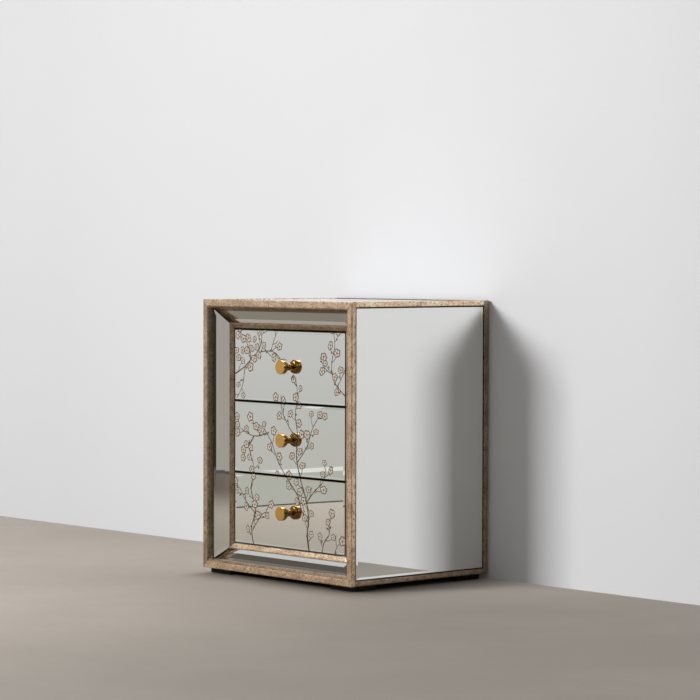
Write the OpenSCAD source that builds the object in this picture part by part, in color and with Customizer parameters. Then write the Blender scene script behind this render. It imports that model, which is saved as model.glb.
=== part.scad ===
// Mirrored nightstand with three drawers in a splayed mirror surround.
// Millimetres. Origin at the bottom centre, +Z up, the front faces -Y.

/* [Case] */
// Overall width of the case
case_w = 500; // [460:1:600]
// Overall depth of the case
case_d = 400; // [385:1:480]
// Height of the gilt case, without the feet
case_h = 598; // [570:1:680]
// Height of the gilt case above the floor
floor_gap = 12; // [8:1:30]
// Recess of the base panel above the lower edge of the mouldings
base_recess = 3; // [2:0.5:5]
// Thickness of the back panel
back_t = 4; // [3:0.5:6]
// Gap between the back panel and the rear frame
back_fit = 0.3; // [0.2:0.1:1]

/* [Gilt mouldings] */
// Face width of the front and rear mouldings
mould_w = 15; // [13:0.5:20]
// Depth of the front moulding, front to back
mould_d = 15; // [14:0.5:20]
// Depth of the front moulding as seen from the side
mould_lip = 11.6; // [10:0.2:12.6]
// Depth of the rear moulding
rear_d = 14; // [10:0.5:16]
// Width of the corner rails that run from front to back
rail_w = 11; // [9:0.5:12]
// Radius of the rounded edges of the mouldings
arris_r = 1.5; // [0.8:0.1:2.5]

/* [Mirror glass] */
// Thickness of the mirror glass
glass_t = 4; // [3:0.5:5]
// Depth of the glass face behind the face of the mouldings
glass_recess = 1; // [0.5:0.5:2]
// Width of the dark groove between a moulding and the glass
groove_w = 2; // [1.5:0.1:3]
// Width of the bevel round the case and drawer mirrors
bevel_w = 5.5; // [4:0.5:15]
// Width of the bevel round the splayed mirrors
splay_bevel_w = 8; // [4:0.5:10]
// Angle of the bevels to the face of the glass
bevel_angle = 8; // [4:0.5:9]

/* [Splayed surround] */
// Outer side of the case to the drawer opening
reveal_side = 63; // [55:0.5:70]
// Top of the case to the drawer opening
reveal_top = 63.5; // [55:0.5:75]
// Bottom of the case to the drawer opening
reveal_bottom = 56.5; // [50:0.5:70]
// Depth of the splayed mirrors' outer edge behind the front of the case
splay_start = 11.4; // [9:0.2:14]
// Depth of the inner moulding's face behind the front of the case
splay_depth = 33.4; // [26:0.2:40]
// Face width of the inner moulding
inner_w = 12; // [10:0.5:15]
// Depth of the inner moulding, front to back
inner_d = 10; // [8:0.5:14]
// How far the inner moulding's face falls back towards the drawers
inner_fall = 5; // [2:0.5:6]
// Open line between two splayed mirrors at a mitre
mitre_gap = 1.2; // [0.6:0.1:2]
// Gap between a splayed mirror and the inner moulding
inner_seat = 0.5; // [0.3:0.1:1]
// Thickness of the boards behind the splayed mirrors
splay_board_t = 9; // [6:0.5:12]
// Glue line between two boards that meet at a corner
glue_gap = 0.1; // [0.05:0.05:0.3]

/* [Drawer fronts] */
// Depth of the drawer glass behind the face of the inner moulding
front_set = 5; // [2:0.5:9]
// Gap at each side of a drawer front
gap_side = 2; // [1.5:0.1:3]
// Gap above the top drawer front
gap_top = 3; // [2:0.1:4]
// Gap between two drawer fronts
gap_mid = 3.5; // [2:0.1:4]
// Gap under the bottom drawer front
gap_bottom = 2; // [1.5:0.1:4]
// Thickness of a drawer front board
front_t = 15; // [12:0.5:18]

/* [Drawer boxes] */
// Clear space behind a drawer box
box_rear_gap = 28.6; // [10:0.2:50]
// Height of a drawer box
box_h = 120; // [80:1:122]
// Lower edge of a front board to the lower edge of its box
box_lift = 12; // [6:0.5:16]
// Thickness of the box walls
wall_t = 12; // [10:0.5:15]
// Thickness of the box bottom
bottom_t = 5; // [3:0.5:8]
// Lower edge of the box walls to the groove for the bottom
bottom_lift = 10; // [8:0.5:20]
// Depth of the groove that holds the bottom
bottom_groove = 6; // [4:0.5:8]
// Gap round the bottom in its groove
bottom_fit = 0.3; // [0.2:0.1:0.6]

/* [Drawer slides] */
// Space between a drawer box and the case, filled by a slide
slide_w = 12.7; // [12.5:0.1:14]
// Height of a slide
slide_h = 35; // [32:0.5:45]
// Steel thickness of the slides
slide_t = 1.2; // [1:0.1:1.4]
// Front end of a slide behind the drawer front board
slide_setback = 3; // [2:0.5:4]
// Stretch of a slide that stays engaged when the drawer is open
slide_hold = 77; // [60:1:120]
// Diameter of the slide balls
ball_d = 3.4; // [3:0.1:4]
// Running gap between the balls and the raceways
ball_gap = 0.3; // [0.3:0.05:0.5]
// Balls in one row of a cage
ball_count = 4; // [3:1:4]
// Steel thickness of a ball cage
cage_t = 0.8; // [0.6:0.1:0.8]
// Cage to the end of the shared stretch of the slide, drawer open
cage_margin = 2; // [1:0.5:3]

/* [Knobs] */
// Diameter of a knob's flat face
knob_d = 31; // [26:0.5:36]
// Height of a knob from the drawer glass
knob_h = 25.5; // [22:0.5:30]
// Height of the plain band round a knob's face
knob_band = 7; // [5:0.5:9]
// Diameter of a knob's neck
neck_d = 10.6; // [9:0.2:13]
// Diameter of the ring at a knob's foot
ring_d = 15.5; // [14:0.5:18]
// Height of the ring at a knob's foot
ring_h = 2.6; // [2:0.2:4]
// Radius of the rounded edges of a knob
knob_round = 1.2; // [0.6:0.1:2]
// Diameter of the screw that holds a knob
knob_screw_d = 4; // [3:0.5:5]
// Gap round the knob screw in the boards
knob_screw_gap = 0.25; // [0.1:0.05:0.5]
// How far the knob screw reaches into the knob
knob_bite = 9; // [6:0.5:12]
// Diameter of the hole in the drawer glass
glass_hole_d = 6.5; // [6:0.5:9]

/* [Feet] */
// Side of a square foot
foot_w = 68; // [40:1:90]
// Front and outer faces of a foot behind the faces of the case
foot_inset = 13; // [12:0.5:25]
// Height of the rounded-off lower edge of a foot
foot_bevel = 1.5; // [0.5:0.5:3]

/* [Screws] */
// Shank diameter of the countersunk screws
screw_d = 3.2; // [2.5:0.1:4]
// Head diameter of the countersunk screws
screw_head_d = 6.4; // [6:0.1:8]
// Length of the countersunk screws
screw_l = 12; // [10:0.5:12.5]
// Gap round a screw in its hole
screw_fit = 0.05; // [0.02:0.01:0.1]
// Depth of the screw heads in the feet
foot_bore_h = 8; // [7:0.5:9]
// Slide screws from the ends of a slide
slide_screw_end = 22; // [16:1:30]
// Back panel screws from the top and bottom of the uprights
back_screw_end = 30; // [20:1:60]

/* [Hidden] */
$fn = 48;
DRAWERS = [1, 2, 3];

half_w = case_w / 2;
front_y = -case_d / 2;
back_y = case_d / 2;
low_z = floor_gap;
top_z = floor_gap + case_h;
mid_z = floor_gap + case_h / 2;
// A cut runs this far past the solid that it cuts
past = 1;

// The glass stands on the panels, so their outer faces lie this far in
glass_seat = glass_recess + glass_t;
// Glass ground away at the rim of the case and drawer mirrors
bevel_drop = bevel_w * tan(bevel_angle);
// Edge of the case mirrors, in from the outer faces
glass_edge = rail_w + groove_w;
glass_front = front_y + mould_lip + groove_w;
glass_back = back_y - rear_d - groove_w;
// Front and back of the panels, between the two frames
panel_front = front_y + mould_d;
panel_back = back_y - rear_d;

// The splay falls from the inner side of the front moulding to the inner moulding
splay_out = mould_w;
splay_rise = splay_depth - splay_start;
edge_side = reveal_side - inner_w;
edge_top = reveal_top - inner_w;
edge_bottom = reveal_bottom - inner_w;

// The drawer opening, and the inner case round it
open_half = half_w - reveal_side;
open_low = low_z + reveal_bottom;
open_high = top_z - reveal_top;
inner_front = front_y + splay_depth + inner_d;
steepest = splay_rise / (min(edge_side, edge_top, edge_bottom) - splay_out);
notch_front = front_y + splay_depth + slant(steepest, glass_t + splay_board_t) + past;

// Drawer fronts
front_h = (open_high - open_low - gap_top - gap_bottom - 2 * gap_mid) / 3;
front_half = open_half - gap_side;
glass_y = front_y + splay_depth + front_set;
board_y = glass_y + glass_t;
box_y = board_y + front_t;

// Drawer boxes and slides
box_half = open_half - slide_w;
box_d = panel_back - box_rear_gap - box_y;
slide_y = box_y + slide_setback;
slide_l = box_d - slide_setback;
drawer_travel = slide_l - slide_hold;
cage_l = slide_hold - 2 * cage_margin;
cage_y = slide_y + cage_margin + drawer_travel / 2;
raceway = ball_d + 2 * ball_gap;
inner_h = slide_h - 2 * slide_t - 2 * raceway;
ball_z = slide_h / 2 - slide_t - raceway / 2;
ball_fit = 0.1;
ball_x = slide_w / 2;
lip_h = (raceway - cage_t) / 2 - ball_gap;
web_gap = 0.4;
// The channel stops short of the drawer box
reach = slide_w - slide_t - 3 * web_gap;
cage_x = slide_t + web_gap;
inner_x = cage_x + cage_t + web_gap;

// Knob, with its screw through the box wall, the front board and the glass
knob_screw_l = wall_t + front_t + glass_t + knob_bite;
knob_hole_d = knob_screw_d + 2 * knob_screw_gap;
knob_head_d = 2 * knob_screw_d;
knob_head_h = 0.6 * knob_screw_d;
screw_head_h = (screw_head_d - screw_d) / 2;

// Feet stand between the mouldings, against the underside of the base panel
foot_h = floor_gap + base_recess;
foot_mid_x = half_w - foot_inset - foot_w / 2;
foot_mid_y = case_d / 2 - max(foot_inset, rear_d + past) - foot_w / 2;
foot_front_y = -case_d / 2 + foot_inset + foot_w / 2;

function front_z(n) = open_low + gap_bottom + (3 - n) * (front_h + gap_mid);
function slide_z(n) = front_z(n) + box_lift + box_h / 2;
// Length along Y of a thickness measured square to a slope
function slant(slope, thickness) = thickness * sqrt(1 + slope * slope);
// Depth of a splay's face at a distance q in from the side of the case
function splay_y(q, edge) = splay_start + (q - splay_out) * splay_rise / (edge - splay_out);
// Mitre line: how far in along one side, for a distance q in from its neighbour
function mitre(q, edge, next) = splay_out + (q - splay_out) * (next - splay_out) / (edge - splay_out);

// Places a piece drawn along the bottom edge at one of the four sides.
// The piece runs along X, its outer edge at z = 0, its inner side towards +Z.
module at_side(side) {
  if (side == "bottom")
    translate([0, 0, low_z]) children();
  if (side == "top")
    translate([0, 0, top_z]) mirror([0, 0, 1]) children();
  if (side == "left")
    translate([-half_w, 0, mid_z]) rotate([0, 90, 0]) children();
  if (side == "right")
    mirror([1, 0, 0]) translate([-half_w, 0, mid_z]) rotate([0, 90, 0]) children();
}

// Draws its children twice, the second time mirrored to the other side in X
module both_sides() {
  children();
  mirror([1, 0, 0]) children();
}

// Straight bar along X, its section drawn in Y and Z
module bar(length) {
  rotate([90, 0, 90]) linear_extrude(length, center = true) children();
}

// The same bar with both ends cut to 45 degrees over the width w
module mitred_bar(length, w) {
  intersection() {
    bar(length) children();
    rotate([90, 0, 0])
      linear_extrude(2 * case_d, center = true)
        polygon([[-length / 2, 0], [length / 2, 0], [length / 2 - w, w], [w - length / 2, w]]);
  }
}

// Rectangle d by w from the origin, its two corners at x = 0 rounded
module nosed_rect(d, w, r) {
  translate([r, 0]) square([d - r, w]);
  translate([0, r]) square([d, w - 2 * r]);
  for (z = [r, w - r])
    translate([r, z]) circle(r);
}

// Section d by w whose face falls back from its outer to its inner rounded edge
module falling_section(d, w, fall, r) {
  rise = w - 2 * r;
  outer = [r, r];
  inner = [fall + r, w - r];
  face = [-rise, fall] * r / sqrt(fall * fall + rise * rise);
  polygon([[r, 0], [d, 0], [d, w], [fall + r, w], inner + face, outer + face]);
  for (centre = [outer, inner])
    translate(centre) circle(r);
}

module front_section() {
  difference() {
    nosed_rect(mould_d, mould_w, arris_r);
    translate([mould_lip, -past]) square([mould_d - mould_lip + past, glass_seat + past]);
  }
}

module front_moulding(side, length) {
  color([0.72, 0.60, 0.44])
    at_side(side)
      translate([0, front_y, 0])
        mitred_bar(length, mould_w) front_section();
}

module front_stile_left() { front_moulding("left", case_h); }
module front_stile_right() { front_moulding("right", case_h); }
module front_rail_top() { front_moulding("top", case_w); }
module front_rail_bottom() { front_moulding("bottom", case_w); }

module rear_moulding(side, length) {
  color([0.62, 0.51, 0.37])
    at_side(side)
      translate([0, back_y, 0])
        mitred_bar(length, mould_w)
          mirror([1, 0]) nosed_rect(rear_d, mould_w, arris_r);
}

module rear_stile_left() { rear_moulding("left", case_h); }
module rear_stile_right() { rear_moulding("right", case_h); }
module rear_rail_top() { rear_moulding("top", case_w); }
module rear_rail_bottom() { rear_moulding("bottom", case_w); }

// Corner rail from the front lip to the rear frame, halved over the front frame
module corner_rail() {
  length = panel_back - front_y - mould_lip;
  color([0.70, 0.58, 0.42])
    difference() {
      translate([0, front_y + mould_lip + length, 0])
        rotate([90, 0, 0])
          linear_extrude(length) {
            translate([arris_r, 0]) square([rail_w - arris_r, rail_w]);
            translate([0, arris_r]) square([rail_w, rail_w - arris_r]);
            translate([arris_r, arris_r]) circle(arris_r);
          }
      translate([glass_seat, front_y, glass_seat]) cube([rail_w, mould_d, rail_w]);
    }
}

module corner_rail_bottom_left() { translate([-half_w, 0, low_z]) corner_rail(); }
module corner_rail_bottom_right() { mirror([1, 0, 0]) corner_rail_bottom_left(); }
module corner_rail_top_left() { translate([-half_w, 0, top_z]) mirror([0, 0, 1]) corner_rail(); }
module corner_rail_top_right() { mirror([1, 0, 0]) corner_rail_top_left(); }

// Moulding between the splayed mirrors and the drawers
module inner_moulding(side, edge, length, shift) {
  color([0.66, 0.54, 0.39])
    at_side(side)
      translate([shift, front_y + splay_depth, edge])
        mitred_bar(length, inner_w) falling_section(inner_d, inner_w, inner_fall, arris_r);
}

inner_frame_w = 2 * (half_w - edge_side);
inner_frame_h = case_h - edge_top - edge_bottom;
inner_shift = (edge_top - edge_bottom) / 2;

module inner_stile_left() { inner_moulding("left", edge_side, inner_frame_h, inner_shift); }
module inner_stile_right() { inner_moulding("right", edge_side, inner_frame_h, inner_shift); }
module inner_rail_top() { inner_moulding("top", edge_top, inner_frame_w, 0); }
module inner_rail_bottom() { inner_moulding("bottom", edge_bottom, inner_frame_w, 0); }

// Half section of a pane with its rim ground down to a bevel
module bevel_section(w) {
  polygon([
    [-w / 2, 0], [w / 2, 0], [w / 2, glass_t - bevel_drop], [w / 2 - bevel_w, glass_t],
    [bevel_w - w / 2, glass_t], [-w / 2, glass_t - bevel_drop]
  ]);
}

// Rectangular mirror, w along X and h along Y, its bevelled face towards +Z
module bevelled_pane(w, h) {
  color([0.78, 0.81, 0.82])
    intersection() {
      rotate([90, 0, 0]) linear_extrude(h, center = true) bevel_section(w);
      rotate([90, 0, 90]) linear_extrude(w, center = true) bevel_section(h);
    }
}

case_pane_d = glass_back - glass_front;
case_pane_y = (glass_back + glass_front) / 2;

module mirror_top() {
  translate([0, case_pane_y, top_z - glass_seat])
    bevelled_pane(case_w - 2 * glass_edge, case_pane_d);
}

module mirror_side_right() {
  translate([half_w - glass_seat, case_pane_y, mid_z])
    rotate([0, 90, 0]) bevelled_pane(case_h - 2 * glass_edge, case_pane_d);
}

module mirror_side_left() { mirror([1, 0, 0]) mirror_side_right(); }

// Trapezoid between two distances from the side, its ends kept from the mitres.
// Each point is x along the side and q in from it.
function splay_outline(length, edge, next, from, to, inset) = [
  [mitre(from, edge, next[0]) + inset[0] - length / 2, from],
  [length / 2 - mitre(from, edge, next[1]) - inset[1], from],
  [length / 2 - mitre(to, edge, next[1]) - inset[1], to],
  [mitre(to, edge, next[0]) + inset[0] - length / 2, to]
];

// Splayed mirror: a trapezoid whose four edges are ground down to a bevel
module splay_pane(length, edge, next) {
  slope = splay_rise / (edge - splay_out);
  sink = splay_bevel_w * tan(bevel_angle) * (1 + slope * slope);
  mitres = [for (n = next) (n - splay_out) / (edge - splay_out)];
  gaps = [for (m = mitres) slant(m, mitre_gap / 2)];
  bevels = [for (m = mitres) slant(m, mitre_gap / 2 + splay_bevel_w)];
  from = splay_out + groove_w;
  to = edge - inner_seat;
  rim = splay_outline(length, edge, next, from, to, gaps);
  face = splay_outline(length, edge, next, from + splay_bevel_w, to - splay_bevel_w, bevels);
  back = slant(slope, glass_t);
  points = concat(
    [for (p = face) [p[0], splay_y(p[1], edge), p[1]]],
    [for (p = rim) [p[0], splay_y(p[1], edge) + sink, p[1]]],
    [for (p = rim) [p[0], splay_y(p[1], edge) + back, p[1]]]
  );
  ring = [for (k = [0:3]) [k, (k + 1) % 4]];
  faces = concat(
    [[3, 2, 1, 0]],
    [for (e = ring) [e[0], e[1], e[1] + 4, e[0] + 4]],
    [for (e = ring) [e[0] + 4, e[1] + 4, e[1] + 8, e[0] + 8]],
    [[8, 9, 10, 11]]
  );
  color([0.78, 0.81, 0.82])
    translate([0, front_y, 0]) polyhedron(points, faces);
}

module splay_mirror_left() {
  at_side("left") splay_pane(case_h, edge_side, [edge_top, edge_bottom]);
}
module splay_mirror_right() {
  at_side("right") splay_pane(case_h, edge_side, [edge_top, edge_bottom]);
}
module splay_mirror_top() {
  at_side("top") splay_pane(case_w, edge_top, [edge_side, edge_side]);
}
module splay_mirror_bottom() {
  at_side("bottom") splay_pane(case_w, edge_bottom, [edge_side, edge_side]);
}

// Board that a splayed mirror is bonded to, from the case panel to the inner case
module splay_board(length, edge, next) {
  slope = splay_rise / (edge - splay_out);
  face = slant(slope, glass_t);
  back = face + slant(slope, splay_board_t);
  near = front_y + splay_start;
  far = front_y + splay_depth;
  gaps = [for (n = next) slant((n - splay_out) / (edge - splay_out), glue_gap / 2)];
  intersection() {
    bar(length)
      polygon([
        [near + face, splay_out], [near + back, splay_out], [far + back, edge], [far + face, edge]
      ]);
    rotate([90, 0, 0])
      linear_extrude(2 * case_d, center = true)
        polygon(splay_outline(length, edge, next, splay_out, edge, gaps));
  }
}

module splay_boards() {
  color([0.10, 0.09, 0.08]) {
    at_side("left") splay_board(case_h, edge_side, [edge_top, edge_bottom]);
    at_side("right") splay_board(case_h, edge_side, [edge_top, edge_bottom]);
    at_side("top") splay_board(case_w, edge_top, [edge_side, edge_side]);
    at_side("bottom") splay_board(case_w, edge_bottom, [edge_side, edge_side]);
  }
}

// Side panel, halved round the corner rails and the top and base panels
module side_panel_right() {
  depth = panel_back - panel_front;
  outer_t = rail_w - glass_seat;
  inner_t = mould_w - rail_w;
  color([0.16, 0.14, 0.12])
    translate([half_w - mould_w, panel_front, low_z]) {
      translate([0, 0, mould_w]) cube([inner_t, depth, case_h - 2 * mould_w]);
      translate([inner_t, 0, rail_w]) cube([outer_t, depth, case_h - 2 * rail_w]);
    }
}

module side_panel_left() { mirror([1, 0, 0]) side_panel_right(); }

module top_panel() {
  color([0.16, 0.14, 0.12])
    translate([rail_w - half_w, panel_front, top_z - mould_w])
      cube([case_w - 2 * rail_w, panel_back - panel_front, mould_w - glass_seat]);
}

module base_panel() {
  color([0.16, 0.14, 0.12])
    difference() {
      translate([rail_w - half_w, panel_front, low_z + base_recess])
        cube([case_w - 2 * rail_w, panel_back - panel_front, mould_w - base_recess]);
      at_foot_screws() screw_hole();
    }
}

module back_panel() {
  w = case_w - 2 * (mould_w + back_fit);
  h = case_h - 2 * (mould_w + back_fit);
  color([0.14, 0.12, 0.11])
    difference() {
      translate([-w / 2, panel_back, mid_z - h / 2]) cube([w, back_t, h]);
      at_back_screws() screw_hole();
    }
}

// Upright that carries the slides, notched round the upper and lower splay boards
module upright_left() {
  color([0.74, 0.62, 0.45])
    difference() {
      translate([-open_half - inner_w, inner_front, low_z + mould_w])
        cube([inner_w, panel_back - inner_front, case_h - 2 * mould_w]);
      translate([-half_w, front_y, low_z]) cube([half_w, notch_front - front_y, edge_bottom]);
      translate([-half_w, front_y, top_z - edge_top])
        cube([half_w, notch_front - front_y, edge_top]);
      at_slide_screws() screw_hole();
      at_back_screws() screw_hole();
    }
}

module upright_right() { mirror([1, 0, 0]) upright_left(); }

module inner_deck(z) {
  color([0.74, 0.62, 0.45])
    translate([-open_half, inner_front, z])
      cube([2 * open_half, panel_back - inner_front, inner_w]);
}

module inner_top() { inner_deck(open_high); }
module inner_bottom() { inner_deck(open_low - inner_w); }

// Countersunk screw, its head flush with z = 0 and its point towards -Z
module screw() {
  slot = screw_head_d / 8;
  difference() {
    union() {
      translate([0, 0, -screw_head_h])
        cylinder(h = screw_head_h, d1 = screw_d, d2 = screw_head_d);
      translate([0, 0, -screw_l]) cylinder(h = screw_l - screw_head_h, d = screw_d);
    }
    for (turn = [0, 90])
      rotate([0, 0, turn])
        translate([-screw_head_d / 4, -slot / 2, -screw_head_h / 2])
          cube([screw_head_d / 2, slot, screw_head_h]);
  }
}

module screw_hole() {
  grow = 2 * screw_fit;
  translate([0, 0, -screw_head_h])
    cylinder(h = screw_head_h, d1 = screw_d + grow, d2 = screw_head_d + grow);
  translate([0, 0, -screw_l - screw_fit]) cylinder(h = screw_l, d = screw_d + grow);
  cylinder(h = foot_bore_h + past, d = screw_head_d + grow);
}

// Left-hand slide screws, driven outwards through the channel into the upright
module at_slide_screws() {
  for (n = DRAWERS)
    for (y = [slide_y + slide_screw_end, slide_y + slide_l - slide_screw_end])
      translate([slide_t - open_half, y, slide_z(n)]) rotate([0, 90, 0]) children();
}

// Screws through the back panel into the rear edge of both uprights
module at_back_screws() {
  low = low_z + mould_w + back_screw_end;
  high = top_z - mould_w - back_screw_end;
  for (x = [-1, 1] * (open_half + inner_w / 2))
    for (k = [0:4])
      translate([x, panel_back + back_t, low + (high - low) * k / 4])
        rotate([-90, 0, 0]) children();
}

// Two screws up through each foot into the base panel
module at_foot_screws() {
  for (x = [-foot_mid_x, foot_mid_x])
    for (y = [foot_front_y, foot_mid_y])
      for (k = [-1, 1])
        translate([x + k * foot_w / 5, y + k * foot_w / 5, foot_bore_h])
          rotate([180, 0, 0]) children();
}

module case_screws() {
  color([0.72, 0.70, 0.64]) {
    both_sides() at_slide_screws() screw();
    at_back_screws() screw();
    at_foot_screws() screw();
  }
}

module feet() {
  color([0.05, 0.05, 0.05])
    difference() {
      for (x = [-foot_mid_x, foot_mid_x])
        for (y = [foot_front_y, foot_mid_y])
          translate([x, y, 0]) foot();
      at_foot_screws() screw_hole();
    }
}

// Square block, its lower edge taken off on all four sides
module foot() {
  translate([0, 0, foot_h])
    intersection() {
      rotate([90, 0, 0]) linear_extrude(foot_w, center = true) foot_section();
      rotate([90, 0, 90]) linear_extrude(foot_w, center = true) foot_section();
    }
}

module foot_section() {
  half = foot_w / 2;
  polygon([
    [-half, 0], [half, 0], [half, foot_bevel - foot_h], [half - foot_bevel, -foot_h],
    [foot_bevel - half, -foot_h], [-half, foot_bevel - foot_h]
  ]);
}

// Slide channel in section: x from the upright towards the drawer, y up
module channel_section() {
  translate([0, -slide_h / 2]) square([slide_t, slide_h]);
  for (flip = [0, 1])
    mirror([0, flip]) {
      translate([0, slide_h / 2 - slide_t]) square([reach, slide_t]);
      translate([reach - slide_t, slide_h / 2 - slide_t - lip_h]) square([slide_t, slide_t + lip_h]);
    }
}

// Inner member in section, open towards the channel
module member_section() {
  translate([slide_w - slide_t, -inner_h / 2]) square([slide_t, inner_h]);
  for (flip = [0, 1])
    mirror([0, flip]) {
      translate([inner_x, inner_h / 2 - slide_t]) square([slide_w - inner_x, slide_t]);
      translate([inner_x, inner_h / 2 - slide_t]) square([slide_t, slide_t + lip_h]);
    }
}

// Ball cage in section, between the two
module cage_section() {
  translate([cage_x, -ball_z - cage_t / 2]) square([cage_t, 2 * ball_z + cage_t]);
  for (flip = [0, 1])
    mirror([0, flip])
      translate([cage_x, ball_z - cage_t / 2]) square([reach - cage_x - slide_t, cage_t]);
}

// Runs a slide section along Y at the left of drawer n
module slide_run(n, y, length) {
  translate([-open_half, y + length, slide_z(n)])
    rotate([90, 0, 0]) linear_extrude(length) children();
}

module slide_channels() {
  color([0.66, 0.67, 0.68])
    both_sides()
      difference() {
        for (n = DRAWERS)
          slide_run(n, slide_y, slide_l) channel_section();
        at_slide_screws() screw_hole();
      }
}

module drawer_slides(n) {
  color([0.70, 0.71, 0.72])
    both_sides() slide_run(n, slide_y, slide_l) member_section();
}

// Places the balls of the left-hand cage of drawer n
module at_balls(n) {
  for (k = [0:ball_count - 1])
    for (z = [-ball_z, ball_z])
      translate([ball_x - open_half, cage_y + cage_l * (k + 0.5) / ball_count, slide_z(n) + z])
        children();
}

module drawer_ball_cages(n) {
  color([0.80, 0.80, 0.78])
    both_sides() {
      difference() {
        slide_run(n, cage_y, cage_l) cage_section();
        at_balls(n) cylinder(h = 2 * cage_t, d = ball_d + 2 * ball_fit, center = true);
      }
      at_balls(n) sphere(d = ball_d);
    }
}

// Drawer front board, its mirror, and the knob in the middle of both
module at_knob(n) {
  translate([0, glass_y, front_z(n) + front_h / 2]) rotate([90, 0, 0]) children();
}

// Clearance hole from the drawer glass to the inside of the box
module knob_screw_hole() {
  depth = glass_t + front_t + wall_t + past;
  translate([0, 0, -depth]) cylinder(h = depth + past, d = knob_hole_d);
}

module drawer_front(n) {
  color([0.07, 0.06, 0.06])
    difference() {
      translate([-front_half, board_y, front_z(n)]) cube([2 * front_half, front_t, front_h]);
      at_knob(n) knob_screw_hole();
    }
}

module drawer_mirror(n) {
  difference() {
    translate([0, board_y, front_z(n) + front_h / 2])
      rotate([90, 0, 0]) bevelled_pane(2 * front_half, front_h);
    at_knob(n) cylinder(h = 3 * glass_t, d = glass_hole_d, center = true);
  }
}

// Turned brass knob: ring, neck, and a head that swells to the flat face
module drawer_knob(n) {
  ring_r = ring_d / 2;
  neck_r = neck_d / 2;
  face_r = knob_d / 2;
  neck_z = ring_h + knob_round;
  head_z = knob_h - knob_band;
  swell_h = 2 * (head_z - neck_z) / 3;
  swell_z = head_z - swell_h;
  profile = concat(
    [[0, 0], [ring_r, 0], [ring_r, ring_h - knob_round]],
    [for (a = [15:15:90]) [ring_r - knob_round * (1 - cos(a)), ring_h - knob_round * (1 - sin(a))]],
    [for (a = [15:15:90]) [neck_r + (ring_r - knob_round - neck_r) * (1 - sin(a)),
      ring_h + knob_round * (1 - cos(a))]],
    [for (a = [0:7.5:90]) [neck_r + (face_r - neck_r) * sin(a), swell_z + swell_h * (1 - cos(a))]],
    [for (a = [0:15:90]) [face_r - knob_round * (1 - cos(a)), knob_h - knob_round * (1 - sin(a))]],
    [[0, knob_h]]
  );
  color([0.78, 0.58, 0.27])
    at_knob(n)
      difference() {
        rotate_extrude($fn = 96) polygon(profile);
        translate([0, 0, -past])
          cylinder(h = knob_bite + 2 * past, d = knob_screw_d + 2 * screw_fit);
      }
}

// Pan-head screw from inside the drawer box
module drawer_knob_screw(n) {
  back = glass_t + front_t + wall_t;
  slot = knob_head_d / 8;
  color([0.72, 0.70, 0.64])
    at_knob(n)
      difference() {
        translate([0, 0, -back]) {
          cylinder(h = knob_screw_l, d = knob_screw_d);
          translate([0, 0, -knob_head_h]) cylinder(h = knob_head_h, d = knob_head_d);
        }
        for (turn = [0, 90])
          rotate([0, 0, turn])
            translate([-knob_head_d / 4, -slot / 2, -back - 1.5 * knob_head_h])
              cube([knob_head_d / 2, slot, knob_head_h]);
      }
}

// Four walls of a drawer box, grooved for the bottom
module drawer_walls(n) {
  inner_half = box_half - wall_t;
  groove_in = wall_t - bottom_groove;
  z = front_z(n) + box_lift;
  color([0.80, 0.68, 0.50])
    difference() {
      union() {
        both_sides()
          translate([-box_half, box_y, z]) cube([wall_t, box_d, box_h]);
        for (y = [box_y, box_y + box_d - wall_t])
          translate([glue_gap - inner_half, y, z])
            cube([2 * (inner_half - glue_gap), wall_t, box_h]);
      }
      translate([-inner_half - bottom_groove, box_y + groove_in, z + bottom_lift])
        cube([2 * (inner_half + bottom_groove), box_d - 2 * groove_in, bottom_t + bottom_fit]);
      at_knob(n) knob_screw_hole();
    }
}

module drawer_bottom(n) {
  half = box_half - wall_t + bottom_groove - bottom_fit;
  y = box_y + wall_t - bottom_groove + bottom_fit;
  color([0.84, 0.73, 0.56])
    translate([-half, y, front_z(n) + box_lift + bottom_lift])
      cube([2 * half, box_d - 2 * (y - box_y), bottom_t]);
}

front_stile_left();
front_stile_right();
front_rail_top();
front_rail_bottom();
rear_stile_left();
rear_stile_right();
rear_rail_top();
rear_rail_bottom();
corner_rail_top_left();
corner_rail_top_right();
corner_rail_bottom_left();
corner_rail_bottom_right();
inner_stile_left();
inner_stile_right();
inner_rail_top();
inner_rail_bottom();
mirror_top();
mirror_side_left();
mirror_side_right();
splay_mirror_left();
splay_mirror_right();
splay_mirror_top();
splay_mirror_bottom();
splay_boards();
side_panel_left();
side_panel_right();
top_panel();
base_panel();
back_panel();
upright_left();
upright_right();
inner_top();
inner_bottom();
slide_channels();
feet();
case_screws();
for (n = DRAWERS) {
  drawer_front(n);
  drawer_mirror(n);
  drawer_knob(n);
  drawer_knob_screw(n);
  drawer_walls(n);
  drawer_bottom(n);
  drawer_slides(n);
  drawer_ball_cages(n);
}
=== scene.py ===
"""Mirrored nightstand: finishes, painted blossom branches, room, light and camera.

Lengths are in metres, in the frame of the construction model: origin at the
bottom centre, +Z up, the drawers open towards -Y.
"""
import math
import random

import bmesh
import bpy
from mathutils import Matrix, Vector


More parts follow.
